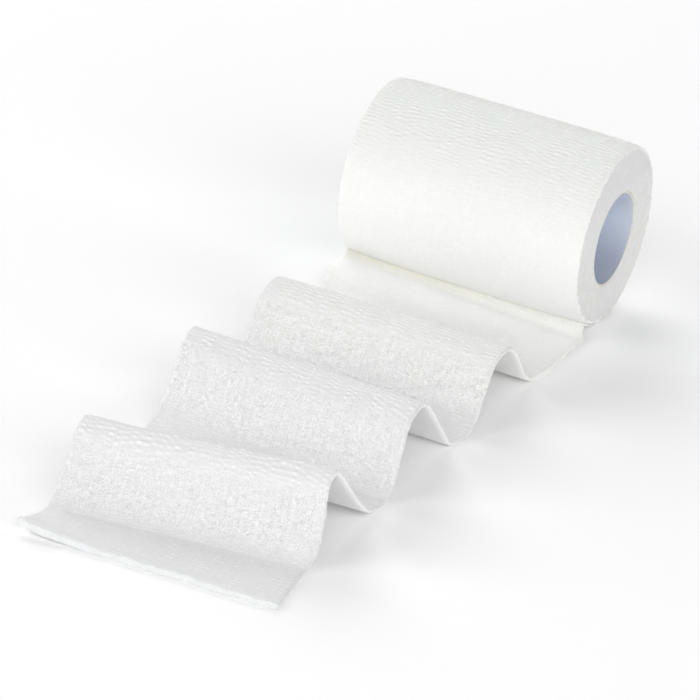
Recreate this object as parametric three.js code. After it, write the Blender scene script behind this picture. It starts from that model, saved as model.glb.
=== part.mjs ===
// A cohesive bandage roll: one crinkled elastic strip wound on a thin tube, its loose end run out
// to the front in three standing waves. Millimetres. X runs along the roll's axis, the loose end
// runs towards -Y and Z is up. The origin is on the floor below the middle of the roll's axis.

import * as THREE from "three";

// Driving dimensions.
const stripWidth = 76;
const rollRadius = 28.2; // to the outside of the last turn
const turnThickness = 0.8; // cloth wound under tension
const clothThickness = 1.4; // cloth lying loose, over its crinkle
const endThickness = 2.0; // the cut end, fluffed up
const endSwell = 5; // length of the fluffed stretch at the cut end
const freeingRun = 20; // length over which wound cloth springs back to its loose thickness
const coreInnerRadius = 14.05;
const coreWall = 0.8;
const coreEdgeRound = 0.2;
const seatGap = 0.3; // between the core and the first turn
const flatSpotDepth = 0.3; // how far the roll settles under its own weight
const rimRound = 1; // how far the rim of each end face is rounded off
const rollCrown = 0.5; // how much fuller the roll is at its middle than beside its rims
const crownPower = 4; // the higher, the nearer to the rims the roll keeps its full size
const rimFadeStart = 0.9; // share of the last turn after which its rim is no longer rounded

const axisHeight = rollRadius - flatSpotDepth;
const windingBore = coreInnerRadius + coreWall + seatGap;

// How finely the curves are divided.
const turnSteps = 72;
const boreSteps = 64;
const stepsPerPlace = 3;
const spansAcross = 6;
const rimAngles = [0, 30, 60, 90];

// The strip's two edges part from the roll at these angles, from straight down towards the front.
const partingAngle = { left: 15, right: 9 };
const edgeSign = { left: -1, right: 1 };

// How high the cloth stands at each named place of a bend, as a share of the bend's height.
const levels = {
  foot: 0, heel: 0.12, shoulder: 0.92, peak: 1, brow: 0.9, waist: 0.5, toe: 0.15, landing: 0,
};

// The bends of the loose end, a row for each bend and strip edge. Places are distances from below
// the roll's axis towards the front: the cloth leaves the floor at the foot, climbs past its heel
// and shoulder to its peak, falls past its brow, waist and toe, and lies on the floor again from
// the landing. The slack is still held by the roll, so it starts at its shoulder. Side is the
// edge's place across the strip, and height reaches from the floor to the cloth's upper side.
const bends = [
  { bend: "slack", edge: "left", side: -36.6, height: 7.8,
    shoulder: 22, peak: 26, brow: 30, waist: 34, toe: 37.2, landing: 41 },
  { bend: "slack", edge: "right", side: 39.6, height: 1.8,
    shoulder: 17, peak: 21, brow: 25, waist: 30, toe: 37, landing: 44 },
  { bend: "rear wave", edge: "left", side: -36.3, height: 19, foot: 49, heel: 54,
    shoulder: 68, peak: 72.5, brow: 80, waist: 85.2, toe: 90, landing: 95.5 },
  { bend: "rear wave", edge: "right", side: 38.4, height: 20, foot: 50, heel: 54.5,
    shoulder: 70, peak: 76.3, brow: 82.2, waist: 87.6, toe: 91, landing: 98 },
  { bend: "middle wave", edge: "left", side: -37, height: 22.9, foot: 101, heel: 107,
    shoulder: 121, peak: 124.5, brow: 129.6, waist: 134, toe: 141, landing: 148 },
  { bend: "middle wave", edge: "right", side: 36.8, height: 23.6, foot: 103, heel: 107,
    shoulder: 124.8, peak: 130.5, brow: 136, waist: 140.9, toe: 143.2, landing: 147.5 },
  { bend: "front wave", edge: "left", side: -36.2, height: 21.7, foot: 156, heel: 163,
    shoulder: 187.5, peak: 191.3, brow: 195, waist: 199.3, toe: 205, landing: 208.8 },
  { bend: "front wave", edge: "right", side: 36.8, height: 25.7, foot: 152, heel: 160.5,
    shoulder: 181.5, peak: 185.3, brow: 188.8, waist: 189.2, toe: 190.8, landing: 197.5 },
];

// The corners of the cut end. The left one curls up off the floor, over a stretch of the strip's
// width and length.
const endCorners = {
  left: { side: -37, reach: 224.3 },
  right: { side: 39.8, reach: 221.2 },
};
const cornerCurl = { height: 2.4, width: 28, length: 17 };

function radians(degrees) {
  return THREE.MathUtils.degToRad(degrees);
}

// A point beside the roll's axis, at an angle from straight down towards the front, kept on the
// floor where the roll would reach below it.
function aroundAxis(radius, degrees) {
  const turn = radians(degrees);
  const height = axisHeight - radius * Math.cos(turn);
  return { y: -radius * Math.sin(turn), z: Math.max(height, 0) };
}

// The middle of the cloth's thickness along one edge of the loose end.
function edgeCurve(edge) {
  const rows = bends.filter((row) => row.edge === edge);
  const leaving = aroundAxis(rollRadius - turnThickness / 2, partingAngle[edge]);
  const places = [new THREE.Vector3(edgeSign[edge] * (stripWidth / 2), leaving.y, leaving.z)];
  for (const row of rows) {
    for (const [place, level] of Object.entries(levels)) {
      if (!(place in row)) continue;
      const height = clothThickness / 2 + level * (row.height - clothThickness);
      places.push(new THREE.Vector3(row.side, -row[place], height));
    }
  }
  const corner = endCorners[edge];
  places.push(new THREE.Vector3(corner.side, -corner.reach, endThickness / 2));
  return new THREE.CatmullRomCurve3(places, false, "centripetal");
}

// Cloth thickness after a length along the loose end: tight at the roll, full where it lies free
// and fluffed at the cut end.
function thicknessAt(run, wholeRun) {
  const freed = THREE.MathUtils.smoothstep(run, 0, freeingRun);
  const frayed = THREE.MathUtils.smoothstep(run, wholeRun - endSwell, wholeRun);
  return turnThickness + (clothThickness - turnThickness) * freed
    + (endThickness - clothThickness) * frayed;
}

// How far the curled corner lifts the cloth, by the distances from the left edge and the cut end.
function curlAt(fromEdge, fromEnd) {
  const across = Math.max(1 - fromEdge / cornerCurl.width, 0);
  const along = Math.max(1 - fromEnd / cornerCurl.length, 0);
  return cornerCurl.height * across ** 2 * along;
}

// Top and bottom points of the loose end in the section at a share across the strip.
function looseEndSection(edges, share) {
  const samples = (edges.left.points.length - 1) * stepsPerPlace;
  const middle = [];
  for (let i = 0; i <= samples; i += 1) {
    const left = edges.left.getPoint(i / samples);
    middle.push(left.lerp(edges.right.getPoint(i / samples), share));
  }
  const runs = [0];
  for (let i = 1; i <= samples; i += 1) {
    runs.push(runs[i - 1] + middle[i].distanceTo(middle[i - 1]));
  }
  middle.forEach((point, i) => {
    point.z += curlAt(share * stripWidth, runs[samples] - runs[i]);
  });
  const top = [];
  const bottom = [];
  for (let i = 0; i <= samples; i += 1) {
    const half = thicknessAt(runs[i], runs[samples]) / 2;
    const ahead = middle[Math.min(i + 1, samples)];
    const behind = middle[Math.max(i - 1, 0)];
    const along = Math.hypot(ahead.y - behind.y, ahead.z - behind.z);
    const lean = { y: (ahead.z - behind.z) / along, z: (behind.y - ahead.y) / along };
    const height = Math.max(middle[i].z, half);
    const low = Math.max(height - half * lean.z, 0);
    top.push(new THREE.Vector3(middle[i].x, middle[i].y + half * lean.y, height + half * lean.z));
    bottom.push(new THREE.Vector3(middle[i].x, middle[i].y - half * lean.y, low));
  }
  return { top, bottom };
}

// The last turn's outside, from where the cloth parts from the roll, once round to there again.
function lastTurn(share, x, rimDepth) {
  const parting = THREE.MathUtils.lerp(partingAngle.left, partingAngle.right, share);
  const points = [];
  for (let i = 0; i <= turnSteps; i += 1) {
    const turned = i / turnSteps;
    const held = 1 - THREE.MathUtils.smoothstep(turned, rimFadeStart, 1);
    const radius = rollRadius - turnThickness * (1 - turned) - rimDepth * held;
    const { y, z } = aroundAxis(radius, parting + 360 * turned);
    points.push(new THREE.Vector3(x, y, z));
  }
  return points;
}

// One closed outline of the strip at a share across it: round the roll, out along the underside of
// the loose end, round the cut end, and back along its top.
function stripOutline(edges, share, rimDepth) {
  const x = THREE.MathUtils.lerp(-stripWidth / 2, stripWidth / 2, share);
  const { top, bottom } = looseEndSection(edges, share);
  return [...lastTurn(share, x, rimDepth), ...bottom.slice(1), ...top.slice(1).reverse()];
}

// Shares across the strip where its outline is taken, closer together over the rounded rims.
function stationsAcross() {
  const rim = rimAngles.map((angle) => ({
    share: (rimRound * (1 - Math.cos(radians(angle)))) / stripWidth,
    rimDepth: rollCrown + rimRound * (1 - Math.sin(radians(angle))),
  }));
  const inner = [];
  for (let i = 1; i < spansAcross; i += 1) {
    const fromMiddle = Math.abs((2 * i) / spansAcross - 1);
    inner.push({ share: i / spansAcross, rimDepth: rollCrown * fromMiddle ** crownPower });
  }
  const farRim = rim.map(({ share, rimDepth }) => ({ share: 1 - share, rimDepth })).reverse();
  return [...rim, ...inner, ...farRim];
}

function bandageGeometry() {
  const edges = { left: edgeCurve("left"), right: edgeCurve("right") };
  const outlines = stationsAcross().map(({ share, rimDepth }) => stripOutline(edges, share, rimDepth));
  const around = outlines[0].length;
  const positions = outlines.flat().flatMap((point) => point.toArray());
  const triangles = [];
  for (let i = 0; i + 1 < outlines.length; i += 1) {
    for (let j = 0; j < around; j += 1) {
      const next = (j + 1) % around;
      const [a, b] = [i * around + j, i * around + next];
      triangles.push(a, a + around, b, b, a + around, b + around);
    }
  }

  // The hole for the core, with a ring of points at each end face.
  const firstBorePoint = outlines.length * around;
  for (const x of [-stripWidth / 2, stripWidth / 2]) {
    for (let j = 0; j < boreSteps; j += 1) {
      const { y, z } = aroundAxis(windingBore, (360 * j) / boreSteps);
      positions.push(x, y, z);
    }
  }
  for (let j = 0; j < boreSteps; j += 1) {
    const [a, b] = [firstBorePoint + j, firstBorePoint + ((j + 1) % boreSteps)];
    triangles.push(a, b, a + boreSteps, b, b + boreSteps, a + boreSteps);
  }

  // The two faces at the strip's edges, each the outline with the hole left open.
  const lastOutline = (outlines.length - 1) * around;
  const faces = [
    { firstOutline: 0, firstBore: firstBorePoint, facesRight: false },
    { firstOutline: lastOutline, firstBore: firstBorePoint + boreSteps, facesRight: true },
  ];
  for (const { firstOutline, firstBore, facesRight } of faces) {
    const flatPoint = (index) => new THREE.Vector2(positions[3 * index + 1], positions[3 * index + 2]);
    const outline = Array.from({ length: around }, (_, j) => flatPoint(firstOutline + j));
    const bore = Array.from({ length: boreSteps }, (_, j) => flatPoint(firstBore + j));
    const toPosition = (index) => (index < around ? firstOutline + index : firstBore + index - around);
    for (const corners of THREE.ShapeUtils.triangulateShape(outline, [bore])) {
      const [a, b, c] = corners.map(toPosition);
      const [pa, pb, pc] = [flatPoint(a), flatPoint(b), flatPoint(c)];
      const turnsLeft = pb.clone().sub(pa).cross(pc.clone().sub(pa)) > 0;
      triangles.push(...(turnsLeft === facesRight ? [a, b, c] : [a, c, b]));
    }
  }

  const geometry = new THREE.BufferGeometry();
  geometry.setAttribute("position", new THREE.Float32BufferAttribute(positions, 3));
  geometry.setIndex(triangles);
  geometry.computeVertexNormals();
  return geometry;
}

// The tube's wall turned about the roll's axis, its cut edges slightly rounded.
function coreGeometry() {
  const outer = coreInnerRadius + coreWall;
  const half = stripWidth / 2;
  const wall = [
    [coreInnerRadius, -half + coreEdgeRound],
    [coreInnerRadius + coreEdgeRound, -half],
    [outer - coreEdgeRound, -half],
    [outer, -half + coreEdgeRound],
    [outer, half - coreEdgeRound],
    [outer - coreEdgeRound, half],
    [coreInnerRadius + coreEdgeRound, half],
    [coreInnerRadius, half - coreEdgeRound],
    [coreInnerRadius, -half + coreEdgeRound],
  ].map(([radius, along]) => new THREE.Vector2(radius, along));
  return new THREE.LatheGeometry(wall, boreSteps);
}

const bandage = new THREE.Mesh(
  bandageGeometry(),
  new THREE.MeshStandardMaterial({ color: 0xf4f4f1, roughness: 0.95, metalness: 0 }),
);
bandage.name = "bandage";

const core = new THREE.Mesh(
  coreGeometry(),
  new THREE.MeshStandardMaterial({ color: 0xc4cbd8, roughness: 0.6, metalness: 0 }),
);
core.name = "core";
core.position.set(0, 0, axisHeight);
core.rotation.set(0, 0, -Math.PI / 2);

const bandageRoll = new THREE.Group();
bandageRoll.add(bandage, core);

export default bandageRoll;
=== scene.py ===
import math

import bpy
import numpy as np
from mathutils import Matrix, Vector


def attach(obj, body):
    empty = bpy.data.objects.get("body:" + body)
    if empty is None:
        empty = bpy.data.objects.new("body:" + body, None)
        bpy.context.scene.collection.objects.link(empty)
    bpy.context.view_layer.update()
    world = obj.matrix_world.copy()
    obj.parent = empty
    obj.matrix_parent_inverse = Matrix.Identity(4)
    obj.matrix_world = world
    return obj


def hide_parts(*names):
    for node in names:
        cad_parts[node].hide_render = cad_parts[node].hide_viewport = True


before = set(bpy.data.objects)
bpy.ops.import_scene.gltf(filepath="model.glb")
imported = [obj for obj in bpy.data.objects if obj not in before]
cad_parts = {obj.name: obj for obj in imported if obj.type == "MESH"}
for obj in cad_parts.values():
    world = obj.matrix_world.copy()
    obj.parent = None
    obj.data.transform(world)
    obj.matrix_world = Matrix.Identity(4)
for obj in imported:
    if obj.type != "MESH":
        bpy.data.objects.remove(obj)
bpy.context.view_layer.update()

mm = 0.001
scene = bpy.context.scene

# The camera stands where the photograph was taken from: to the front right of the roll and above it.
# originAt is the pixel of the 700 px frame where the row frame's origin shows.
cameraView = {
    "azimuth": 22.31,
    "elevation": 25.46,
    "roll": 7.24,
    "distance": 1.779,
    "focalLength": 6000.0,  # in pixels
    "originAt": (483.5, 285.9),
    "frameWidth": 700,
    "sensorWidth": 36.0,
}


# The way from the part towards a place at this azimuth, counted from the front, and elevation.
def directionTo(azimuth, elevation):
    turn, rise = math.radians(azimuth), math.radians(elevation)
    return Vector((math.sin(turn) * math.cos(rise), -math.cos(turn) * math.cos(rise), math.sin(rise)))


def addObject(name, data):
    added = bpy.data.objects.new(name, data)
    scene.collection.objects.link(added)
    return added


def buildCamera():
    back = directionTo(cameraView["azimuth"], cameraView["elevation"])
    azimuth, roll = math.radians(cameraView["azimuth"]), math.radians(cameraView["roll"])
    right = Vector((math.cos(azimuth), math.sin(azimuth), 0))
    up = back.cross(right)
    turnedRight = math.cos(roll) * right + math.sin(roll) * up
    turnedUp = math.cos(roll) * up - math.sin(roll) * right
    distance, focal = cameraView["distance"], cameraView["focalLength"]
    half = cameraView["frameWidth"] / 2
    offX, offY = ((pixel - half) / focal * distance for pixel in cameraView["originAt"])
    place = distance * back - offX * turnedRight + offY * turnedUp
    data = bpy.data.cameras.new("photoCamera")
    data.sensor_width = cameraView["sensorWidth"]
    data.lens = focal / cameraView["frameWidth"] * cameraView["sensorWidth"]
    data.clip_end = 50
    camera = addObject("photoCamera", data)
    rows = zip(turnedRight, turnedUp, back, place)
    camera.matrix_world = Matrix([*rows, (0, 0, 0, 1)])
    scene.camera = camera


buildCamera()
print("stage: camera")

# The strip that the whole roll is made of. Lengths are in millimetres and angles in degrees.
strip = {
    "width": 76.0,
    "rollRadius": 28.2,
    "axisHeight": 27.9,
    "woundThickness": 0.8,
    "looseThickness": 1.4,
    "threadSpacing": 2.2,  # between the elastic threads that run along it
    "threadMargin": 0.6,  # from the strip's edge to its first thread
    "toothStep": 0.6,  # between the teeth along the strip's edges
    "rollCrown": 0.5,
    "crownPower": 4,
    "partingLeft": 36.0,  # degrees from straight down, where each edge leaves the roll
    "partingRight": 28.0,
    "seamAngle": -4.0,  # under the roll, where the last turn and the loose end meet
}


# Where the strip leaves the roll, at shares of its width, in degrees from straight down.
def partingAt(shares):
    return strip["partingLeft"] * (1 - shares) + strip["partingRight"] * shares


# How far the roll's middle stands out past its rims.
def crownAt(shares):
    return strip["rollCrown"] * np.abs(2 * shares - 1) ** strip["crownPower"]


def smoothStep(value, low, high):
    share = np.clip((value - low) / (high - low), 0, 1)
    return share * share * (3 - 2 * share)


# Smooth chance values along a line, about one new value every given step.
def wander(rng, along, step):
    count = int((along.max() - along.min()) / step) + 4
    values = rng.uniform(-1, 1, count)
    at = (along - along.min()) / step
    low = np.floor(at).astype(int)
    share = at - low
    share = share * share * (3 - 2 * share)
    return values[low] * (1 - share) + values[low + 1] * share


# The same over a surface.
def unevenness(rng, along, across, alongStep, acrossStep):
    rows = int(np.ptp(along) / alongStep) + 4
    columns = int(np.ptp(across) / acrossStep) + 4
    values = rng.uniform(-1, 1, (rows, columns))
    atRow, atColumn = (along - along.min()) / alongStep, (across - across.min()) / acrossStep
    i, j = np.floor(atRow).astype(int), np.floor(atColumn).astype(int)
    a, b = atRow - i, atColumn - j
    a, b = (a * a * (3 - 2 * a))[:, None], (b * b * (3 - 2 * b))[None, :]
    near = values[np.ix_(i, j)] * (1 - b) + values[np.ix_(i, j + 1)] * b
    far = values[np.ix_(i + 1, j)] * (1 - b) + values[np.ix_(i + 1, j + 1)] * b
    return near * (1 - a) + far * a


puckerForm = {
    # How far the rows stray, in pitches, with a new value every so many pitches along and mm across.
    "strays": ((0.8, 8, 15), (0.3, 3, 6), (0.16, 1.5, 1.1)),
    "slipStep": 3,  # pitches between changes of a gap's own slip
    "strengthStep": 1.3,  # pitches between changes of strength
    "strength": (0.75, 0.5, 0.2, 1.15),  # middle, change, least and most
    "arch": 0.8,  # the lower, the fuller the puckers from thread to thread
    "onThread": 0.2,  # share of their height that is left on a thread
}


# Puckers of the cloth between its elastic threads: wavy rows of short ridges across the strip, each
# gap between two threads a little out of step with the next. Gives their height, from 0 to about 1,
# and a tone for painted shade and highlights, up to 1 deep in a furrow, 0 on its sides and down to -1 on top of
# a ridge.
def puckers(rng, along, across, pitch, slip, sharpness):
    stray = np.zeros((len(along), len(across)))
    for amount, alongStep, acrossStep in puckerForm["strays"]:
        stray += amount * unevenness(rng, along, across, alongStep * pitch, acrossStep)
    height, paintedShading = np.zeros((2, len(along), len(across)))
    gaps = (across - strip["threadMargin"]) / strip["threadSpacing"]
    middle, change, least, most = puckerForm["strength"]
    for k in range(-1, int(gaps.max()) + 1):
        own = slip * (rng.uniform(-1, 1) + wander(rng, along, puckerForm["slipStep"] * pitch))
        strength = middle + change * wander(rng, along, puckerForm["strengthStep"] * pitch)
        strength = np.clip(strength, least, most)[:, None]
        inGap = (gaps > k + 0.01) & (gaps < k + 0.99)
        onThread = np.abs(gaps - np.array([[k], [k + 1]])).min(0) < 0.01
        arch = np.sin(np.pi * np.clip(gaps - k, 0, 1)) ** puckerForm["arch"]
        for columns, share in ((inGap, arch), (onThread, np.full(len(gaps), puckerForm["onThread"]))):
            here = np.nonzero(columns)[0]
            phase = 2 * np.pi * (along[:, None] / pitch + stray[:, here] + own[:, None])
            wave = (1 + np.cos(phase)) / 2
            height[:, here] += wave ** sharpness * strength * share[here]
            shown = np.maximum(share[here], 0.25)
            # The furrow amount is painted shade in the furrows, the ridge amount a painted highlight on the
            # ridge tops.
            paintedFurrowShade = (1 - smoothStep(wave, 0.0, 0.35)) * (0.15 + 0.75 * strength) * shown
            paintedRidgeHighlight = smoothStep(wave, 0.4, 1.0) * strength * shown
            paintedShading[:, here] += paintedFurrowShade - paintedRidgeHighlight
    return height, paintedShading


# How far the toothed edges of the strip stand out sideways, for each row and column.
def edgeTeeth(rng, along, across, amount, reach):
    onLeft = across < strip["width"] / 2
    fromEdge = np.minimum(across, strip["width"] - across)
    sideways = np.where(onLeft, -1, 1) * np.clip(1 - fromEdge / reach, 0, 1)
    teeth = np.stack([wander(rng, along, strip["toothStep"]) for _ in range(2)], 1)
    return np.where(onLeft[None, :], teeth[:, :1], teeth[:, 1:]) * amount * sideways[None, :]


# The rows and columns of a fine grid that its coarser, hidden side keeps.
def coarserGrid(along, across):
    rows = np.unique(np.concatenate([np.arange(0, len(along), 5), [len(along) - 1]]))
    columns = np.unique(np.concatenate([[0], np.arange(1, len(across) - 1, 2), [len(across) - 1]]))
    return rows, columns


# Places across the strip: each thread, halfway between threads, and a few more beside each edge.
def stationsAcross(edgeSteps):
    width, margin = strip["width"], strip["threadMargin"]
    count = int(round((width - 2 * margin) / (strip["threadSpacing"] / 2)))
    steps = np.array(edgeSteps)
    return np.concatenate([steps, np.linspace(margin, width - margin, count + 1), (width - steps)[::-1]])


# Faces between a fine line of points and a coarse one that run side by side.
def stitched(fine, coarse, fineAt, coarseAt, flip):
    faces, i, j = [], 0, 0
    while i + 1 < len(fine) or j + 1 < len(coarse):
        if j + 1 == len(coarse) or (i + 1 < len(fine) and fineAt[i + 1] <= coarseAt[j + 1]):
            face = (fine[i], fine[i + 1], coarse[j])
            i += 1
        else:
            face = (fine[i], coarse[j + 1], coarse[j])
            j += 1
        faces.append(face[::-1] if flip else face)
    return faces


# One closed cloth: a fine grid on the side that shows, a coarser one on the other side, and the
# four edges between them. Points are in metres, rows run along the strip.
def clothMesh(name, front, back, frontAt, backAt, flip, uvFront, uvBack, attributes):
    rows, columns = front.shape[:2]
    backRows, backColumns = back.shape[:2]
    frontIndex = np.arange(rows * columns).reshape(rows, columns)
    backIndex = rows * columns + np.arange(backRows * backColumns).reshape(backRows, backColumns)

    def quads(index, turned):
        a, b, c, d = index[:-1, :-1], index[1:, :-1], index[1:, 1:], index[:-1, 1:]
        corners = (a, d, c, b) if turned else (a, b, c, d)
        return np.stack(corners, -1).reshape(-1, 4)

    (frontAlong, frontAcross), (backAlong, backAcross) = frontAt, backAt
    faces = quads(frontIndex, flip).tolist() + quads(backIndex, not flip).tolist()
    smoothCount = len(faces)
    faces += stitched(frontIndex[:, 0], backIndex[:, 0], frontAlong, backAlong, not flip)
    faces += stitched(frontIndex[:, -1], backIndex[:, -1], frontAlong, backAlong, flip)
    faces += stitched(frontIndex[0], backIndex[0], frontAcross, backAcross, flip)
    faces += stitched(frontIndex[-1], backIndex[-1], frontAcross, backAcross, not flip)
    points = np.concatenate([front.reshape(-1, 3), back.reshape(-1, 3)])
    mesh = bpy.data.meshes.new(name)
    mesh.from_pydata(points.tolist(), [], [[int(v) for v in face] for face in faces])
    mesh.polygons.foreach_set("use_smooth", [k < smoothCount for k in range(len(faces))])
    corner = np.empty(len(mesh.loops), int)
    mesh.loops.foreach_get("vertex_index", corner)
    places = np.concatenate([uvFront.reshape(-1, 2), uvBack.reshape(-1, 2)])
    layer = mesh.uv_layers.new(name="stripMap")
    layer.uv.foreach_set("vector", places[corner].astype(np.float32).ravel())
    for key, values in attributes.items():
        layer = mesh.attributes.new(key, "FLOAT", "POINT")
        padded = np.concatenate([values.ravel(), np.zeros(backRows * backColumns)])
        layer.data.foreach_set("value", padded.astype(np.float32))
    mesh.validate()
    return addObject(name, mesh)


# The loose end, the part of the strip that is laid out in waves.
looseEnd = {
    "rowStep": 0.25,
    "hiddenReach": 6.0,  # length of the finer rows before the strip leaves the roll
    "puckerPitch": 1.45,
    "puckerSlip": 0.7,
    "puckerSharpness": 1.2,
    "puckerDepth": 0.11,
    "depthGrows": (20.0, 60.0),  # the stretch over which the puckers get that depth
    "crestGain": 1.9,  # how much deeper they stand over the tops of the waves
    "crestFades": (-10.0, -7.0, 3.0, 11.0),  # where that begins and ends, before and past a peak
    "flatGain": 0.1,  # how much deeper the puckers stand where the cloth lies level
    "waviness": 0.35,
    "crownRun": 9.0,  # length over which the roll's crown is lost
    "freeingRun": 20.0,  # length over which the cloth springs back to its loose thickness
    "endSwell": 4.0,
    "endThickness": 1.9,
    "endBulge": 0.3,
    "endRows": 10,  # down the cut face
    "endLumps": 0.3,
    "endScallops": ((0.5, 4.0), (0.22, 1.4)),  # depth and step of the cut end's outline
    "toothDepth": 0.16,
    "toothReach": 1.2,
    "nipFill": 1.0,  # how far the cloth's loft closes the crease below the roll
    "nipFillRun": 6.0,
    "nipFillRight": 0.45,  # share of it at the right edge
    "paintedCreaseRun": 9.0,  # length of the painted cream shade from the crease on
    "levelSets": (55.0, 90.0),  # the stretch over which the painted shade of level cloth sets in
    "creaseShade": (0.65, 4.0, 13.0),  # painted shade in front of the crease at the right: amount, and where it fades
    "curl": (2.4, 28.0, 17.0),  # height, width and length of the lifted left corner
    "cornerLeft": (-37.0, 224.3),
    "cornerRight": (39.8, 221.2),
    "seed": 11,
}
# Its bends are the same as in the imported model: a row for each bend and edge gives the edge's place
# across, the bend's height, and how far in front of the axis the cloth passes its foot, heel,
# shoulder, peak, brow, waist, toe and landing. Their levels are shares of the height.
bendLevels = (0, 0.12, 0.92, 1, 0.9, 0.5, 0.15, 0)
leftBends = (
    (-36.6, 7.8, None, None, 22, 26, 30, 34, 37.2, 41),
    (-36.3, 19, 49, 54, 68, 72.5, 80, 85.2, 90, 95.5),
    (-37, 22.9, 101, 107, 121, 124.5, 129.6, 134, 141, 148),
    (-36.2, 21.7, 156, 163, 187.5, 191.3, 195, 199.3, 205, 208.8),
)
rightBends = (
    (39.6, 1.8, None, None, 17, 21, 25, 30, 37, 44),
    (38.4, 20, 50, 54.5, 70, 76.3, 82.2, 87.6, 91, 98),
    (36.8, 23.6, 103, 107, 124.8, 130.5, 136, 140.9, 143.2, 147.5),
    (36.8, 25.7, 152, 160.5, 181.5, 185.3, 188.8, 189.2, 190.8, 197.5),
)


def edgePlaces(side, parting, bends, corner):
    loose = strip["looseThickness"]
    radius = strip["rollRadius"] - strip["woundThickness"] / 2
    turn = math.radians(parting)
    height = strip["axisHeight"] - radius * math.cos(turn)
    places = [(side * strip["width"] / 2, -radius * math.sin(turn), height)]
    for across, height, *reaches in bends:
        for reach, level in zip(reaches, bendLevels):
            if reach is not None:
                places.append((across, -reach, loose / 2 + level * (height - loose)))
    places.append((corner[0], -corner[1], looseEnd["endThickness"] / 2))
    return np.array(places)


# A centripetal Catmull-Rom curve through the places, at shares of its number of spans.
def curveAt(places, shares):
    before, after = 2 * places[0] - places[1], 2 * places[-1] - places[-2]
    points = np.vstack([before, places, after])
    at = shares * (len(places) - 1)
    span = np.minimum(at.astype(int), len(places) - 2)
    w = (at - span)[:, None]
    p = [points[span + k] for k in range(4)]
    gaps = [np.sqrt(np.linalg.norm(p[k + 1] - p[k], axis=1))[:, None] for k in range(3)]
    before, middle, after = ((p[k + 1] - p[k]) / gaps[k] for k in range(3))
    startSlope = (before - (p[2] - p[0]) / (gaps[0] + gaps[1]) + middle) * gaps[1]
    endSlope = (middle - (p[3] - p[1]) / (gaps[1] + gaps[2]) + after) * gaps[1]
    square = -3 * p[1] + 3 * p[2] - 2 * startSlope - endSlope
    cube = 2 * p[1] - 2 * p[2] + startSlope + endSlope
    return p[1] + startSlope * w + square * w ** 2 + cube * w ** 3


# Unit normals of a grid of points, on the side that looks up where the strip runs to the front.
def gridNormals(points):
    normal = np.cross(np.gradient(points, axis=0), np.gradient(points, axis=1))
    return normal / np.linalg.norm(normal, axis=-1, keepdims=True)


def looseEndMiddle(along, shares, edges):
    left, right = (
        np.stack([np.interp(along, edges["run"], line[:, k]) for k in range(3)], -1)[:, None]
        for line in edges["lines"]
    )
    middle = left * (1 - shares[None, :, None]) + right * shares[None, :, None]
    height, width, length = looseEnd["curl"]
    sideways = np.clip(1 - shares * strip["width"] / width, 0, 1) ** 2
    lengthways = np.clip(1 - (edges["run"][-1] - along) / length, 0, 1)
    middle[:, :, 2] += height * lengthways[:, None] * sideways[None, :]
    return middle


# Where the tops of the waves are: 1 from the shoulder to just past the peak, 0 down on the faces.
def crestZones(along, shares, middle):
    zones = np.zeros(middle.shape[:2])
    free = along >= 0
    rising, risen, falling, gone = looseEnd["crestFades"]
    for left, right in zip(leftBends[1:], rightBends[1:]):
        for j, share in enumerate(shares):
            peak = left[5] * (1 - share) + right[5] * share
            distance = along - np.interp(peak, -middle[free, j, 1], along[free])
            ends = 1 - smoothStep(distance, falling, gone)
            zones[:, j] += smoothStep(distance, rising, risen) * ends
    return zones


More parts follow.
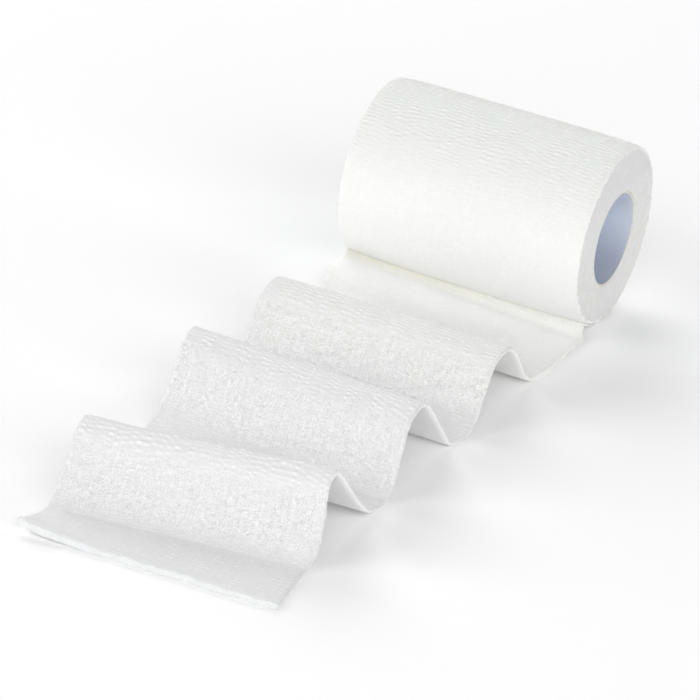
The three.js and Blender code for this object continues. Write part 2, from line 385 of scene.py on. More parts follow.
def buildLooseEnd():
    rng = np.random.default_rng(looseEnd["seed"])
    width = strip["width"]
    spans = np.linspace(0, 1, 6001)
    lines = [
        curveAt(edgePlaces(-1, strip["partingLeft"], leftBends, looseEnd["cornerLeft"]), spans),
        curveAt(edgePlaces(1, strip["partingRight"], rightBends, looseEnd["cornerRight"]), spans),
    ]
    steps = sum(np.linalg.norm(np.diff(line, axis=0), axis=1) for line in lines) / 2
    run = np.concatenate([[0], np.cumsum(steps)])
    edges = {"run": run, "lines": lines}
    whole = run[-1]

    # Rows: the short arc that is still on the roll, then the free length.
    arcAngle = (strip["partingLeft"] + strip["partingRight"]) / 2 - strip["seamAngle"]
    arcLength = math.radians(arcAngle) * strip["rollRadius"]
    hidden = looseEnd["hiddenReach"]
    along = np.concatenate([
        np.linspace(-arcLength, -hidden, 20)[:-1],
        np.linspace(-hidden, 0, 24)[:-1],
        np.linspace(0, whole, int(whole / looseEnd["rowStep"])),
    ])
    across = stationsAcross((0, 0.25))
    shares = across / width
    onRoll = along < 0
    middle = np.empty((len(along), len(across), 3))
    middle[~onRoll] = looseEndMiddle(along[~onRoll], shares, edges)
    parting = partingAt(shares)[None, :]
    angle = parting + (parting - strip["seamAngle"]) * (along[onRoll] / arcLength)[:, None]
    inside = strip["woundThickness"] * (0.5 + (parting - angle) / 360)
    radius = strip["rollRadius"] - inside
    turn = np.radians(angle)
    middle[onRoll, :, 0] = (-width / 2 + across)[None, :]
    middle[onRoll, :, 1] = -radius * np.sin(turn)
    middle[onRoll, :, 2] = strip["axisHeight"] - radius * np.cos(turn)
    normal = gridNormals(middle)
    crowned = 1 - smoothStep(along, 0, looseEnd["crownRun"])
    middle += normal * (crowned[:, None] * crownAt(shares)[None, :])[:, :, None]

    loosening = smoothStep(along, 0, looseEnd["freeingRun"])
    swell = smoothStep(along, whole - looseEnd["endSwell"], whole - 0.5)
    wound, loose = strip["woundThickness"], strip["looseThickness"]
    thickness = wound + (loose - wound) * loosening
    thickness = thickness + (looseEnd["endThickness"] - loose) * swell
    fromEdge = np.minimum(across, width - across)
    edgeRound = np.sqrt(np.clip(1 - (1 - np.clip(fromEdge / 0.5, 0, 1)) ** 2, 0.16, 1))
    half = thickness[:, None] * edgeRound[None, :] / 2

    # The puckers stand highest over the tops of the waves. The finer net shows least on level cloth.
    crest = crestZones(along, shares, middle)
    slip = looseEnd["puckerSlip"] * (1 - 0.6 * crest.mean(1))
    pitch, sharpness = looseEnd["puckerPitch"], looseEnd["puckerSharpness"]
    pucker, paintedShading = puckers(rng, along, across, pitch, slip, sharpness)
    level = smoothStep(normal[:, :, 2], 0.6, 1.0) * (1 - crest)
    net = 1 - 0.6 * level - 0.5 * crest
    depth = looseEnd["puckerDepth"] * (0.4 + 0.6 * smoothStep(along, *looseEnd["depthGrows"]))[:, None]
    depth = depth * (1 + looseEnd["crestGain"] * crest + looseEnd["flatGain"] * level)
    fuzz = smoothStep(along, whole - 2.2, whole - 0.8)
    lumps = unevenness(rng, along, across, 1.5, 3.2) + 0.5 * unevenness(rng, along, across, 0.8, 1.3)
    relief = (pucker - pucker.mean()) * depth * (1 - 0.8 * fuzz)[:, None]
    relief = relief + lumps * looseEnd["endLumps"] * fuzz[:, None]
    wave = unevenness(rng, along, across, 16, 17) + 0.5 * unevenness(rng, along, across, 7, 8)
    offFloor = smoothStep(middle[:, :, 2], 1.2, 5) * smoothStep(along, 0, 12)[:, None]
    middle += normal * (wave * looseEnd["waviness"] * offFloor)[:, :, None]
    middle[:, :, 2] = np.maximum(middle[:, :, 2], half)

    # Toothed edges, and the cut end's bumpy outline.
    middle[:, :, 0] += edgeTeeth(rng, along, across, looseEnd["toothDepth"], looseEnd["toothReach"])
    scallop = sum(wander(rng, across, step) * size for size, step in looseEnd["endScallops"])
    middle[:, :, 1] -= smoothStep(along, whole - 2.0, whole)[:, None] * scallop[None, :]

    # The loft that closes the crease, and the two sides of the cloth.
    closing = smoothStep(along, -4, -0.5) * (1 - np.clip(along / looseEnd["nipFillRun"], 0, 1)) ** 2.5
    fill = closing[:, None] * (1 - (1 - looseEnd["nipFillRight"]) * shares[None, :])
    front = middle + normal * (half + relief + fill * looseEnd["nipFill"])[:, :, None]
    front[:, :, 2] = np.maximum(front[:, :, 2], 0.15)
    under = middle - normal * half[:, :, None]
    under[:, :, 2] = np.maximum(under[:, :, 2], 0)

    # The cut face: rows that go over the end from the upper side down to the lower one.
    down = np.linspace(0, 0.94, looseEnd["endRows"] + 1)[1:]
    outward = middle[-1] - middle[-3]
    outward /= np.linalg.norm(outward, axis=-1, keepdims=True)
    bulge = looseEnd["endBulge"] + 0.15 * unevenness(rng, down * 2, across, 0.7, 1.1)
    bulge = bulge + 0.25 * unevenness(rng, down * 2, across, 1.5, 3.0)
    centre, reach = (front[-1] + under[-1]) / 2, (front[-1] - under[-1]) / 2
    face = centre[None] + reach[None] * np.cos(np.pi * down)[:, None, None]
    face = face + outward[None] * (bulge * np.sin(np.pi * down)[:, None] ** 0.5)[:, :, None]
    front = np.concatenate([front, face])
    alongFront = np.concatenate([along, whole + 2 * down])

    # What the material reads at each point. Tone is above 0 in a furrow and below 0 on a ridge and sets
    # painted shade and highlights there, net is how much of the fine net shows, level is painted shade,
    # and fleece and cream are shares of those colours, cream a painted shade beside the crease.
    padding = np.zeros((len(down), len(across)))
    fleece = smoothStep(along, whole - 0.45, whole) + 0.8 * (1 - smoothStep(along, -4, -2))
    fleece = np.repeat(fleece[:, None], len(across), 1)
    # A painted cream shade just past the crease, in place of light scattered through the cloth.
    paintedCreaseShade = (1 - smoothStep(along, 0, looseEnd["paintedCreaseRun"])) * smoothStep(along, -1.2, 0.6)
    paintedCreaseShade = paintedCreaseShade[:, None] * (0.75 - 0.6 * shares[None, :])
    # Painted furrow shade and ridge highlights, mostly over the wave tops, the highlights also on level cloth.
    paintedShading *= np.where(paintedShading > 0, 0.1 + 0.6 * crest, 0.1 + 0.95 * crest + 0.5 * level)
    # Painted shade on level cloth, over the wave tops and in front of the crease at the right.
    shade, full, gone = looseEnd["creaseShade"]
    paintedLevelShade = level * smoothStep(along, *looseEnd["levelSets"])[:, None] + crest
    paintedLevelShade += shade * shares[None, :] * (1 - smoothStep(along, full, gone))[:, None]
    attributes = {
        "paintedShading": np.concatenate([paintedShading * (1 - fuzz)[:, None], padding]),
        "net": np.concatenate([net * (1 - 0.8 * fuzz)[:, None], padding]),
        "level": np.concatenate([paintedLevelShade, padding]),
        "fleece": np.concatenate([fleece, padding + 1]),
        "paintedCreaseShade": np.concatenate([paintedCreaseShade, padding]),
    }

    coarse, sparse = coarserGrid(along, across)
    pick = np.ix_(coarse, sparse)
    alongBack = along[coarse]
    alongBack[-1] = alongFront[-1]
    uvFront = np.stack(np.meshgrid(across, alongFront), -1)
    uvBack = np.stack(np.meshgrid(across, along), -1)[pick]
    piece = clothMesh("looseEnd", front * mm, under[pick] * mm, (alongFront, across),
                      (alongBack, across[sparse]), False, uvFront, uvBack, attributes)
    return piece, whole + arcLength


loosePiece, looseLength = buildLooseEnd()
print("stage: loose end", len(loosePiece.data.polygons), "faces", round(looseLength, 1), "mm")

# The last turn, the one that shows on the roll.
lastTurn = {
    "rowStep": 0.22,
    "puckerPitch": 1.45,
    "puckerSlip": 0.35,
    "puckerSharpness": 0.7,
    "frontDepth": 0.05,  # of the puckers, on the front of the roll
    "topDepth": 0.34,  # and from its top on to its back
    "topAngles": (92.0, 165.0),  # where the one changes into the other
    "waviness": 0.1,
    "widthGain": 1.017,  # its rims stand out a little from the strip's own width
    "rimRound": 1.5,
    "rimDip": 0.45,
    "innerDip": 0.3,
    "toothDepth": 0.2,
    "toothReach": 1.0,
    "startAngle": 1.0,
    "seed": 23,
}


def buildLastTurn():
    rng = np.random.default_rng(lastTurn["seed"])
    width, wound = strip["width"], strip["woundThickness"]
    endAngle = 360 + strip["seamAngle"]
    length = math.radians(endAngle - lastTurn["startAngle"]) * strip["rollRadius"]
    count = int(length / lastTurn["rowStep"])
    degrees = np.linspace(lastTurn["startAngle"], endAngle, count)
    along = np.radians(degrees) * strip["rollRadius"]
    across = stationsAcross((0, 0.1, 0.3))
    shares = across / width
    parting = partingAt(shares)[None, :]
    radius = strip["rollRadius"] - wound * (1.5 - (degrees[:, None] - parting) / 360)
    radius = radius - crownAt(shares)[None, :]
    radius += unevenness(rng, along, across, 20, 25) * lastTurn["waviness"]
    fromEdge = np.minimum(across, width - across)
    dip = 1 - np.sqrt(1 - (1 - np.clip(fromEdge / lastTurn["rimRound"], 0, 1)) ** 2)
    pitch, slip, sharpness = (lastTurn[k] for k in ("puckerPitch", "puckerSlip", "puckerSharpness"))
    pucker, paintedShading = puckers(rng, along, across, pitch, slip, sharpness)
    upward = np.repeat(smoothStep(degrees, *lastTurn["topAngles"])[:, None], len(across), 1)
    # Painted furrow shade and ridge highlights, mostly from the top on, and a painted highlight along the rims.
    paintedShading = np.where(fromEdge < 0.35, -0.45, paintedShading * (0.05 + 0.95 * upward))
    aboveNip = along[:, None] - np.radians(parting) * strip["rollRadius"]
    # A painted cream shade just above the crease.
    paintedCreaseShade = (1 - smoothStep(aboveNip, 1, 4)) * (0.3 - 0.25 * shares[None, :])
    depth = lastTurn["frontDepth"] * (1 - upward) + lastTurn["topDepth"] * upward
    outer = radius + wound / 2 - lastTurn["rimDip"] * dip[None, :] + (pucker - pucker.mean()) * depth
    inner = radius - wound / 2 - lastTurn["innerDip"] * dip[None, :]
    teeth = edgeTeeth(rng, along, across, lastTurn["toothDepth"], lastTurn["toothReach"])
    x = (-width / 2 + across[None, :]) * lastTurn["widthGain"] + teeth

    def placed(distance, x, degrees):
        turn = np.radians(degrees)[:, None]
        height = strip["axisHeight"] - distance * np.cos(turn)
        return np.stack([x, -distance * np.sin(turn), np.maximum(height, 0)], -1)

    coarse, sparse = coarserGrid(along, across)
    pick = np.ix_(coarse, sparse)
    front = placed(outer, x, degrees)
    back = placed(inner[pick], x[pick], degrees[coarse])
    uv = np.stack(np.meshgrid(across, along), -1)
    attributes = {"paintedShading": paintedShading, "net": 1 + 0.3 * upward, "paintedCreaseShade": paintedCreaseShade}
    piece = clothMesh("lastTurn", front * mm, back * mm, (along, across),
                      (along[coarse], across[sparse]), True, uv, uv[pick], attributes)
    return piece, length


lastPiece, turnLength = buildLastTurn()
print("stage: last turn", len(lastPiece.data.polygons), "faces")


# A node in a tree, with its settings and its inputs: values or the sockets to link from, by name or,
# as i0, i1 and so on, by number.
def addNode(tree, kind, settings=None, **inputs):
    node = tree.nodes.new(kind)
    for key, value in (settings or {}).items():
        setattr(node, key, value)
    for key, value in inputs.items():
        numbered = key[0] == "i" and key[1:].isdigit()
        socket = node.inputs[int(key[1:]) if numbered else key.replace("_", " ")]
        if isinstance(value, bpy.types.NodeSocket):
            tree.links.new(value, socket)
        else:
            socket.default_value = value
    return node


# Results of one calculation with numbers, and of one with vectors.
def mathNode(tree, operation, *values):
    inputs = {f"i{k}": value for k, value in enumerate(values)}
    return addNode(tree, "ShaderNodeMath", {"operation": operation}, **inputs).outputs[0]


def vectorNode(tree, operation, *values, **named):
    inputs = {f"i{k}": value for k, value in enumerate(values)}
    return addNode(tree, "ShaderNodeVectorMath", {"operation": operation}, **inputs, **named).outputs[0]


# A node group with its sockets, each a name and a kind, and for inputs a starting value if need be.
def newTree(name, kind, inputs, outputs):
    tree = bpy.data.node_groups.new(name, kind)
    for label, socketKind, *value in inputs:
        socket = tree.interface.new_socket(label, in_out="INPUT", socket_type="NodeSocket" + socketKind)
        if value:
            socket.default_value = value[0]
    for label, socketKind in outputs:
        tree.interface.new_socket(label, in_out="OUTPUT", socket_type="NodeSocket" + socketKind)
    return tree, tree.nodes.new("NodeGroupInput").outputs, tree.nodes.new("NodeGroupOutput").inputs


# Runs a Geometry Nodes tree on an object and keeps the result as a plain mesh.
def bakeNodes(piece, tree, values):
    modifier = piece.modifiers.new("build", "NODES")
    modifier.node_group = tree
    for item in tree.interface.items_tree:
        if item.item_type == "SOCKET" and item.in_out == "INPUT" and item.name in values:
            modifier[item.identifier] = values[item.name]
    bpy.context.view_layer.update()
    graph = bpy.context.evaluated_depsgraph_get()
    mesh = bpy.data.meshes.new_from_object(piece.evaluated_get(graph))
    mesh.name = piece.name
    piece.modifiers.remove(modifier)
    piece.data = mesh
    return piece


# The turns under the last one: one strip in a spiral, its edges a little in and out at each end.
innerTurns = {
    "startRadius": 14.96,
    "endRadius": 26.43,
    "turns": 14.086,
    "beginsAt": 330.0,  # degrees from straight down, by way of the front
    "stripWidth": 77.3,
    "stripThickness": 0.98,
    "edgeRound": 0.05,
    "pointsPerTurn": 150,
    "climbShare": 0.985,  # of each turn
    "telescoping": 0.11,
    "teeth": 0.07,
    "seed": 5.0,
}


def innerTurnsTree(material):
    tree, take, out = newTree("innerTurnsTree", "GeometryNodeTree", (
        ("Turns", "Float"), ("Start Radius", "Float"), ("End Radius", "Float"), ("Strip Width", "Float"),
        ("Strip Thickness", "Float"), ("Edge Round", "Float"), ("Points Per Turn", "Int"),
        ("Axis Height", "Float"), ("Telescoping", "Float"), ("Teeth", "Float"), ("Seed", "Float"),
        ("Start Turn", "Vector"), ("Drop", "Vector"),
    ), (("Geometry", "Geometry"),))

    def step(kind, settings=None, **values):
        return addNode(tree, "GeometryNode" + kind, settings, **values).outputs[0]

    spiral = step("CurveSpiral", Resolution=take["Points Per Turn"], Rotations=take["Turns"],
                  Start_Radius=take["Start Radius"], End_Radius=take["End Radius"], Height=0.0, Reverse=True)

    # Each turn ends its climb just before the next begins, so no gap stays over the strip's beginning.
    spot = step("InputPosition")
    reach = addNode(tree, "ShaderNodeVectorMath", {"operation": "LENGTH"}, i0=spot).outputs["Value"]
    share = addNode(tree, "ShaderNodeMapRange", Value=reach,
                    From_Min=take["Start Radius"], From_Max=take["End Radius"]).outputs[0]
    part = mathNode(tree, "FRACT", mathNode(tree, "MULTIPLY", share, take["Turns"]))
    climb = addNode(tree, "ShaderNodeFloatCurve", Value=part)
    points = climb.mapping.curves[0].points
    points[0].location, points[1].location = (0, 0), (1, 0)
    points.new(innerTurns["climbShare"], innerTurns["climbShare"])
    for point in points:
        point.handle_type = "VECTOR"
    climb.mapping.update()
    outerShare = mathNode(tree, "SUBTRACT", 1.0, share)
    span = mathNode(tree, "SUBTRACT", take["End Radius"], take["Start Radius"])
    rise = mathNode(tree, "DIVIDE", span, take["Turns"])
    depth = mathNode(tree, "MULTIPLY", mathNode(tree, "MULTIPLY", climb.outputs[0], outerShare), rise)
    drawn = vectorNode(tree, "SCALE", vectorNode(tree, "NORMALIZE", spot),
                       Scale=mathNode(tree, "MULTIPLY", depth, -1.0))
    sag = vectorNode(tree, "SCALE", take["Drop"], Scale=outerShare)
    pressed = step("SetPosition", Geometry=spiral, Offset=vectorNode(tree, "ADD", drawn, sag))
    section = step("CurvePrimitiveQuadrilateral", Width=take["Strip Thickness"], Height=take["Strip Width"])
    rounded = step("FilletCurve", {"mode": "POLY"}, Curve=section, Radius=take["Edge Round"], Count=3)
    wound = step("CurveToMesh", Curve=pressed, Profile_Curve=rounded, Fill_Caps=True)
    upright = step("Transform", Geometry=wound, Rotation=(0, -math.pi / 2, 0))
    turned = step("Transform", Geometry=upright, Rotation=take["Start Turn"])
    lift = addNode(tree, "ShaderNodeCombineXYZ", Z=take["Axis Height"])
    lifted = step("SetPosition", Geometry=turned, Offset=lift.outputs[0])

    # Telescoping moves whole stretches of the edges in and out, teeth are the crinkled edge itself.
    place = step("InputPosition")
    side = mathNode(tree, "SIGN", addNode(tree, "ShaderNodeSeparateXYZ", Vector=place).outputs["X"])
    total = None
    for amount, scale in (("Telescoping", 260.0), ("Teeth", 1500.0)):
        noise = addNode(tree, "ShaderNodeTexNoise", {"noise_dimensions": "4D"}, Vector=place,
                        W=mathNode(tree, "ADD", take["Seed"], scale), Scale=scale, Detail=1.0)
        middle = mathNode(tree, "SUBTRACT", noise.outputs[0], 0.5)
        sized = mathNode(tree, "MULTIPLY", middle, take[amount])
        total = sized if total is None else mathNode(tree, "ADD", total, sized)
    shift = addNode(tree, "ShaderNodeCombineXYZ", X=mathNode(tree, "MULTIPLY", total, side))
    moved = step("SetPosition", Geometry=lifted, Offset=shift.outputs[0])
    smooth = step("SetShadeSmooth", Geometry=moved)
    real = step("RealizeInstances", Geometry=smooth)
    painted = step("SetMaterial", Geometry=real, Material=material)
    tree.links.new(painted, out[0])
    return tree


def buildInnerTurns(material):
    turns, drop = innerTurns["turns"], coreTube["drop"] * mm
    startTurn = math.radians(180 - innerTurns["beginsAt"])
    piece = addObject("innerTurns", bpy.data.meshes.new("innerTurns"))
    bakeNodes(piece, innerTurnsTree(material), {
        "Turns": turns,
        "Start Radius": innerTurns["startRadius"] * mm,
        "End Radius": innerTurns["endRadius"] * mm,
        "Strip Width": innerTurns["stripWidth"] * mm,
        "Strip Thickness": innerTurns["stripThickness"] * mm,
        "Edge Round": innerTurns["edgeRound"] * mm,
        "Points Per Turn": innerTurns["pointsPerTurn"],
        "Axis Height": strip["axisHeight"] * mm,
        "Telescoping": innerTurns["telescoping"] * mm * 2,
        "Teeth": innerTurns["teeth"] * mm * 2,
        "Seed": innerTurns["seed"],
        "Start Turn": (startTurn, 0.0, 0.0),
        "Drop": (-drop * math.cos(startTurn), -drop * math.sin(startTurn), 0.0),
    })
    return piece, turns * math.pi * (innerTurns["startRadius"] + innerTurns["endRadius"])


# The card tube, open right through, its cut edges soft and the inside coated.
coreTube = {
    "innerRadius": 13.9,
    "wall": 0.6,
    "length": 77.0,
    "edgeRound": 0.25,
    "drop": 0.85,  # how far it hangs below the middle of the roll
    "stepsAround": 160,
    "stepsAlong": 24,
}


def buildCore():
    inner, half, soft = coreTube["innerRadius"], coreTube["length"] / 2, coreTube["edgeRound"]
    outer = inner + coreTube["wall"]
    middle = strip["axisHeight"] - coreTube["drop"]

    # The wall's cross-section: four rounded corners, and rows along its inside and outside.
    outline = []
    for radius, side in ((inner, 1), (inner, -1), (outer, -1), (outer, 1)):
        inward = 1 if radius == inner else -1
        corner = []
        for degrees in (0, 30, 60, 90):
            turn = math.radians(degrees)
            shorter = soft * (1 - math.sin(turn))
            corner.append((radius + inward * soft * (1 - math.cos(turn)), side * (half - shorter)))
        outline += corner if inward * side < 0 else corner[::-1]
    ring = []
    for k, (radius, x) in enumerate(outline):
        ring.append((radius, x))
        nextX = outline[(k + 1) % len(outline)][1]
        if abs(nextX - x) > half:
            for step in range(1, coreTube["stepsAlong"]):
                ring.append((radius, x + (nextX - x) * (step / coreTube["stepsAlong"])))

    steps, count = coreTube["stepsAround"], len(ring)
    points, faces = [], []
    for a in range(steps):
        turn = 2 * math.pi * a / steps
        for radius, x in ring:
            height = middle - radius * math.cos(turn)
            points.append((x * mm, -radius * math.sin(turn) * mm, height * mm))
        b = (a + 1) % steps
        for k in range(count):
            n = (k + 1) % count
            faces.append((a * count + k, a * count + n, b * count + n, b * count + k))
    mesh = bpy.data.meshes.new("coreTube")
    mesh.from_pydata(points, [], faces)
    mesh.polygons.foreach_set("use_smooth", [True] * len(mesh.polygons))
    return addObject("coreTube", mesh)


def rampOver(tree, value, low, high, start=0.0, end=1.0):
    node = addNode(tree, "ShaderNodeMapRange", {"interpolation_type": "SMOOTHSTEP"}, Value=value,
                   From_Min=low, From_Max=high, To_Min=start, To_Max=end)
    return node.outputs[0]


def mixColors(tree, factor, a, b, mode="MIX"):
    settings = {"data_type": "RGBA", "blend_type": mode}
    return addNode(tree, "ShaderNodeMix", settings, i0=factor, i6=a, i7=b).outputs[2]


# Fine fibrous mottling that every cloth and card surface of the roll shares.
def fibreMottle():
    inputs, outputs = (("Vector", "Vector"), ("Scale", "Float", 1.0)), (("Shade", "Float"), ("Height", "Float"))
    tree, take, out = newTree("fibreMottle", "ShaderNodeTree", inputs, outputs)
    scaled = vectorNode(tree, "SCALE", take["Vector"], Scale=take["Scale"])
    cloud = addNode(tree, "ShaderNodeTexNoise", Vector=scaled, Scale=0.45, Detail=3.0, Roughness=0.6)
    fine = addNode(tree, "ShaderNodeTexNoise", Vector=scaled, Scale=2.2, Detail=3.0, Roughness=0.65,
                   Distortion=0.8)
    shade = addNode(tree, "ShaderNodeMix", {"data_type": "FLOAT"}, i0=0.55, i2=cloud.outputs[0],
                    i3=fine.outputs[0])
    tree.links.new(shade.outputs[0], out["Shade"])
    tree.links.new(fine.outputs[0], out["Height"])
    return tree


# The net of fine ridges and dimples that the crinkled cloth shows from near. Its vector is the place
# on the strip in millimetres. Cavity is 1 in a dimple, and 0 on a ridge and along an elastic thread.
def crinkleNet():
    tree, take, out = newTree("crinkleNet", "ShaderNodeTree", (
        ("Vector", "Vector"), ("Cell Across", "Float", 1.3), ("Cell Along", "Float", 1.1),
        ("Thread Spacing", "Float", strip["threadSpacing"]),
        ("Thread Margin", "Float", strip["threadMargin"]),
    ), (("Cavity", "Float"),))
    bend = addNode(tree, "ShaderNodeTexNoise", Vector=take["Vector"], Scale=0.55, Detail=2.0)
    centred = vectorNode(tree, "SUBTRACT", bend.outputs["Color"], (0.5, 0.5, 0.5))
    bent = vectorNode(tree, "MULTIPLY_ADD", centred, (2.4, 1.8, 0), take["Vector"])
    cell = addNode(tree, "ShaderNodeCombineXYZ", X=take["Cell Across"], Y=take["Cell Along"], Z=1.0)
    scaled = vectorNode(tree, "DIVIDE", bent, cell.outputs[0])
    dimple = None
    settings = {"voronoi_dimensions": "2D", "feature": "DISTANCE_TO_EDGE"}
    for scale, deepest, weight in ((1.0, 0.26, 0.65), (1.8, 0.3, 0.35)):
        net = addNode(tree, "ShaderNodeTexVoronoi", settings, Vector=scaled, Scale=scale, Randomness=1.0)
        deep = rampOver(tree, net.outputs["Distance"], 0.0, deepest, 0.0, weight)
        dimple = deep if dimple is None else mathNode(tree, "ADD", dimple, deep)
    parts = addNode(tree, "ShaderNodeSeparateXYZ", Vector=take["Vector"])
    past = mathNode(tree, "SUBTRACT", parts.outputs["X"], take["Thread Margin"])
    halfGap = mathNode(tree, "MULTIPLY", take["Thread Spacing"], 0.5)
    fromThread = mathNode(tree, "PINGPONG", past, halfGap)
    free = rampOver(tree, fromThread, 0.05, 0.3, 0.75, 1.0)
    tree.links.new(mathNode(tree, "MULTIPLY", dimple, free), out["Cavity"])
    return tree


def attributeNode(tree, name):
    return addNode(tree, "ShaderNodeAttribute", {"attribute_name": name}).outputs["Fac"]


def placeGroup(tree, group, vector, **values):
    return addNode(tree, "ShaderNodeGroup", {"node_tree": group}, Vector=vector, **values)


# The place on the part in millimetres, and its three parts.
def placeOnPart(tree):
    place = addNode(tree, "ShaderNodeTexCoord")
    scaled = vectorNode(tree, "SCALE", place.outputs["Object"], Scale=1000.0)
    return scaled, addNode(tree, "ShaderNodeSeparateXYZ", Vector=scaled).outputs


# An empty material with one shader, whose fixed values are given here.
def newMaterial(name, **values):
    material = bpy.data.materials.new(name)
    material.use_nodes = True
    tree = material.node_tree
    tree.nodes.clear()
    out = tree.nodes.new("ShaderNodeOutputMaterial")
    shader = addNode(tree, "ShaderNodeBsdfPrincipled", **values)
    tree.links.new(shader.outputs[0], out.inputs[0])
    return material, tree, shader


# Relief that is up to this many millimetres deep.
def bumpNode(tree, height, strength, relief, **below):
    bump = addNode(tree, "ShaderNodeBump", Height=height, Strength=strength, Distance=relief * mm, **below)
    return bump.outputs[0]


def dress(tree, shader, color, bump):
    tree.links.new(color, shader.inputs["Base Color"])
    tree.links.new(bump, shader.inputs["Normal"])


mottleGroup = fibreMottle()
netGroup = crinkleNet()

# The cloth's colours. Shade, furrow and level multiply the colour, and the others are mixed in.
# All but the base colours, the edge and fleece colours and the specks' tone are painted light and shade.
cloth = {
    "loose": (0.948, 0.948, 0.95, 1),
    # painted light: brighter on the strip near the roll, where light thrown off the roll falls
    "paintedLightNearRoll": (0.967, 0.972, 0.957, 1),
    "wound": (0.955, 0.955, 0.945, 1),
    # painted light: brighter low on the roll and right at the crease where the strip leaves it
    "paintedLightLow": (0.997, 0.997, 0.985, 1),
    # painted shade: darker on the top and back of the roll
    "paintedShadeTop": (0.86, 0.872, 0.85, 1),
    "edge": (0.835, 0.84, 0.83, 1),
    # painted shade: darker on the upper part of the layered end faces
    "paintedShadeEdgeTop": (0.94, 0.94, 0.95, 1),
    "shade": (0.84, 0.84, 0.835, 1),  # painted shade in the dimples, and the darker tone of specks
    # painted shade in the furrows between the puckers
    "paintedFurrowShade": (0.80, 0.80, 0.77, 1),
    # painted highlight on the tops of the puckers
    "paintedRidgeHighlight": (0.985, 0.985, 0.985, 1),
    "level": (0.865, 0.865, 0.867, 1),  # painted shade where the cloth lies level and less light comes through it, over the wave tops and beside the crease
    "paintedCreaseShade": (0.79, 0.78, 0.665, 1),  # painted cream shade beside the crease where the strip leaves the roll, for light passing through the cloth
    "fleece": (0.815, 0.825, 0.83, 1),  # on the cut end
    "roughness": 0.92,
    "specular": 0.2,
    "sheen": 0.15,
}


# The two sides of the cloth that show. A tint is a colour with the places along the strip where it
# begins and ends to change, and how much there is of it at either.
# These tints are painted light and shade: lighter near the roll and low on it.
looseLook = {
    "tints": ((cloth["paintedLightNearRoll"], 55, 110, 1.0, 0.0), (cloth["paintedLightLow"], -1.2, 0.6, 1.0, 0.0)),
    "cellAcross": 1.08,  # width of the net's cells
    "cellAlong": 0.82,
    "relief": 0.2,
    "cavityShade": 0.45,
    "furrowShade": 0.9,
    "ridgeLight": 0.95,
}
# Painted shade on the top of the roll, and painted light low on it.
woundLook = {
    "tints": ((cloth["paintedShadeTop"], 42, 85, 0.0, 1.0), (cloth["paintedLightLow"], 16, 28, 1.0, 0.0)),
    "cellAcross": 1.0,
    "cellAlong": 0.8,
    "relief": 0.07,
    "cavityShade": 0.1,
    "furrowShade": 0.6,
    "ridgeLight": 1.0,
}


def clothMaterial(name, color, look):
    material, tree, shader = newMaterial(name, Roughness=cloth["roughness"],
                                         Specular_IOR_Level=cloth["specular"], Sheen_Weight=cloth["sheen"])
    uv = addNode(tree, "ShaderNodeUVMap", {"uv_map": "stripMap"}).outputs[0]
    along = addNode(tree, "ShaderNodeSeparateXYZ", Vector=uv).outputs["Y"]
    mottle = placeGroup(tree, mottleGroup, uv, Scale=1.0)
    net = placeGroup(tree, netGroup, uv, Cell_Across=look["cellAcross"], Cell_Along=look["cellAlong"])
    paintedShading = attributeNode(tree, "paintedShading")

    # From the largest areas of colour to the smallest. The tints, crease, level, furrow, ridge and dimple
    # colours are painted light and shade; the specks and fleece are the cloth's own colour.
    for tint, low, high, start, end in look["tints"]:
        color = mixColors(tree, rampOver(tree, along, low, high, start, end), color, tint)
    color = mixColors(tree, attributeNode(tree, "paintedCreaseShade"), color, cloth["paintedCreaseShade"])
    color = mixColors(tree, attributeNode(tree, "level"), color, cloth["level"], "MULTIPLY")
    # Painted shade in the furrows.
    paintedFurrowAmount = rampOver(tree, paintedShading, 0.0, 1.0, 0.0, look["furrowShade"])
    color = mixColors(tree, paintedFurrowAmount, color, cloth["paintedFurrowShade"], "MULTIPLY")
    # A painted highlight on the ridge tops.
    top = rampOver(tree, paintedShading, -1.0, 0.0, look["ridgeLight"], 0.0)
    color = mixColors(tree, top, color, cloth["paintedRidgeHighlight"])
    strength = attributeNode(tree, "net")
    # Painted shade in the dimples of the net.
    dimple = rampOver(tree, net.outputs["Cavity"], 0.3, 1.0, 0.0, look["cavityShade"])
    dimple = mathNode(tree, "MULTIPLY", dimple, strength)
    color = mixColors(tree, dimple, color, cloth["shade"], "MULTIPLY")
    speck = rampOver(tree, mottle.outputs["Shade"], 0.38, 0.62, 0.1, 0.0)
    color = mixColors(tree, speck, color, cloth["shade"], "MULTIPLY")
    tuft = rampOver(tree, mottle.outputs["Shade"], 0.4, 0.6, 0.4, 0.0)
    tufted = mixColors(tree, tuft, cloth["fleece"], cloth["shade"], "MULTIPLY")
    color = mixColors(tree, attributeNode(tree, "fleece"), color, tufted)

    fibres = bumpNode(tree, mottle.outputs["Height"], 0.3, 0.1)
    depth = mathNode(tree, "MULTIPLY", net.outputs["Cavity"], strength)
    crinkle = bumpNode(tree, mathNode(tree, "SUBTRACT", 1.0, depth), 1.0, look["relief"], Normal=fibres)
    dress(tree, shader, color, crinkle)
    return material


loosePiece.data.materials.append(clothMaterial("looseCloth", cloth["loose"], looseLook))
lastPiece.data.materials.append(clothMaterial("woundCloth", cloth["wound"], woundLook))


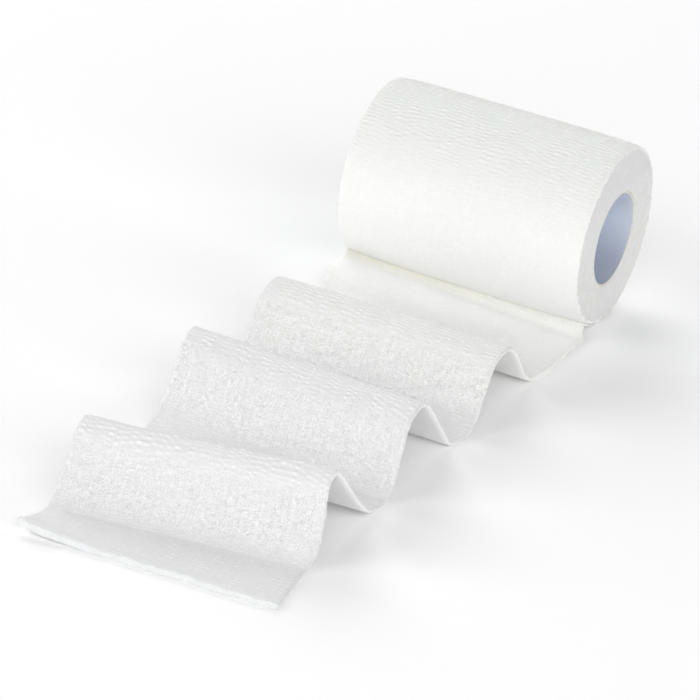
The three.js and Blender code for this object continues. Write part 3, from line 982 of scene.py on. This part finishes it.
def edgeMaterial():
    material, tree, shader = newMaterial("layeredEdges", Roughness=cloth["roughness"],
                                         Specular_IOR_Level=cloth["specular"])
    place, parts = placeOnPart(tree)
    mottle = placeGroup(tree, mottleGroup, place, Scale=1.0)
    speck = rampOver(tree, mottle.outputs["Shade"], 0.38, 0.62, 0.45, 0.0)
    color = mixColors(tree, speck, cloth["edge"], cloth["shade"], "MULTIPLY")
    # Painted shade: the upper part of the end faces is darker.
    upper = rampOver(tree, parts["Z"], strip["axisHeight"] + 4, strip["axisHeight"] + 20)
    color = mixColors(tree, upper, color, cloth["paintedShadeEdgeTop"], "MULTIPLY")
    dress(tree, shader, color, bumpNode(tree, mottle.outputs["Height"], 0.4, 0.15))
    return material


innerPiece, innerLength = buildInnerTurns(edgeMaterial())
print("stage: inner turns", len(innerPiece.data.polygons), "faces", round(innerLength, 1), "mm")

card = {
    "coating": (0.78, 0.84, 0.95, 1),
    "outer": (0.90, 0.90, 0.91, 1),  # painted shade: what the first millimetres inside multiply the colour by
    "outerDepth": 9.0,
    "lower": (0.62, 0.63, 0.67, 1),  # and the lower side, painted shade
    "cutEdge": (0.78, 0.75, 0.66, 1),
    "scuffed": (0.83, 0.89, 0.98, 1),
}


def coreMaterial():
    material, tree, shader = newMaterial("coatedCard")
    place, parts = placeOnPart(tree)
    mottle = placeGroup(tree, mottleGroup, place, Scale=0.6)
    half, middle = coreTube["length"] / 2, strip["axisHeight"] - coreTube["drop"]
    distance = mathNode(tree, "ABSOLUTE", parts["X"])
    wear = rampOver(tree, mottle.outputs["Shade"], 0.45, 0.6, 0.0, 0.5)
    color = mixColors(tree, wear, card["coating"], card["scuffed"])
    # Painted shade: darker near both openings and towards the bottom inside.
    outer = rampOver(tree, distance, half - card["outerDepth"], half - 0.5)
    color = mixColors(tree, outer, color, card["outer"], "MULTIPLY")
    lower = rampOver(tree, parts["Z"], middle - 14.0, middle + 1.0, 1.0, 0.0)
    color = mixColors(tree, lower, color, card["lower"], "MULTIPLY")
    cut = rampOver(tree, distance, half - 0.35, half - 0.2)
    color = mixColors(tree, cut, color, card["cutEdge"])
    rough = rampOver(tree, mottle.outputs["Shade"], 0.4, 0.65, 0.5, 0.62)
    tree.links.new(rough, shader.inputs["Roughness"])
    dress(tree, shader, color, bumpNode(tree, mottle.outputs["Height"], 0.15, 0.05))
    return material


corePiece = buildCore()
corePiece.data.materials.append(coreMaterial())
print("stage: core", len(corePiece.data.polygons), "faces")

# Every piece rides on the one body. The cloth pieces stand for the bandage's solid together.
for piece in (loosePiece, lastPiece, innerPiece):
    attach(piece, "root")
    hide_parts("bandage")
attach(corePiece, "root")
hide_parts("core")

# A plain pale floor, an even white sky and large soft lights all round, strongest from the front.
studio = {
    "floorSize": 12.0,
    "floorColor": (0.96, 0.96, 0.96, 1),
    "floorGlow": 0.05,
    "sky": 0.03,
    "lightDistance": 1.6,
    "lightSize": 1.1,
    "aimAt": (0, -0.08, 0.02),
}
softboxes = (  # name, azimuth from the front, elevation, watts
    ("cameraSideSoftbox", 22, 32, 8.6),
    ("frontLeftSoftbox", -45, 25, 12.7),
    ("frontRightSoftbox", 60, 25, 8.8),
    ("backLeftSoftbox", -135, 35, 15.0),
    ("backRightSoftbox", 135, 35, 6.2),
    ("topSoftbox", 0, 89.9, 1.4),
)


def addSoftbox(name, azimuth, elevation, power):
    away = directionTo(azimuth, elevation)
    data = bpy.data.lights.new(name, "AREA")
    data.shape = "SQUARE"
    data.size = studio["lightSize"]
    data.energy = power
    light = addObject(name, data)
    light.location = Vector(studio["aimAt"]) + away * studio["lightDistance"]
    light.rotation_euler = away.to_track_quat("Z", "Y").to_euler()
    light.visible_camera = False


def buildStudio():
    half, below = studio["floorSize"] / 2, -0.05 * mm
    corners = [(x * half, y * half, below) for x, y in ((-1, -1), (1, -1), (1, 1), (-1, 1))]
    mesh = bpy.data.meshes.new("floor")
    mesh.from_pydata(corners, [], [(0, 1, 2, 3)])
    floor = addObject("floor", mesh)
    material = newMaterial("paleFloor", Base_Color=studio["floorColor"], Roughness=1.0,
                           Specular_IOR_Level=0.0, Emission_Color=(1, 1, 1, 1),
                           Emission_Strength=studio["floorGlow"])[0]
    mesh.materials.append(material)
    world = bpy.data.worlds.new("studioSky")
    world.use_nodes = True
    sky = world.node_tree.nodes["Background"].inputs
    sky["Color"].default_value = (1, 1, 1, 1)
    sky["Strength"].default_value = studio["sky"]
    scene.world = world
    for softbox in softboxes:
        addSoftbox(*softbox)
    scene.view_settings.view_transform = "Standard"
    scene.view_settings.look = "None"
    scene.view_settings.exposure = 0
    scene.view_settings.gamma = 1


buildStudio()
print("stage: studio")
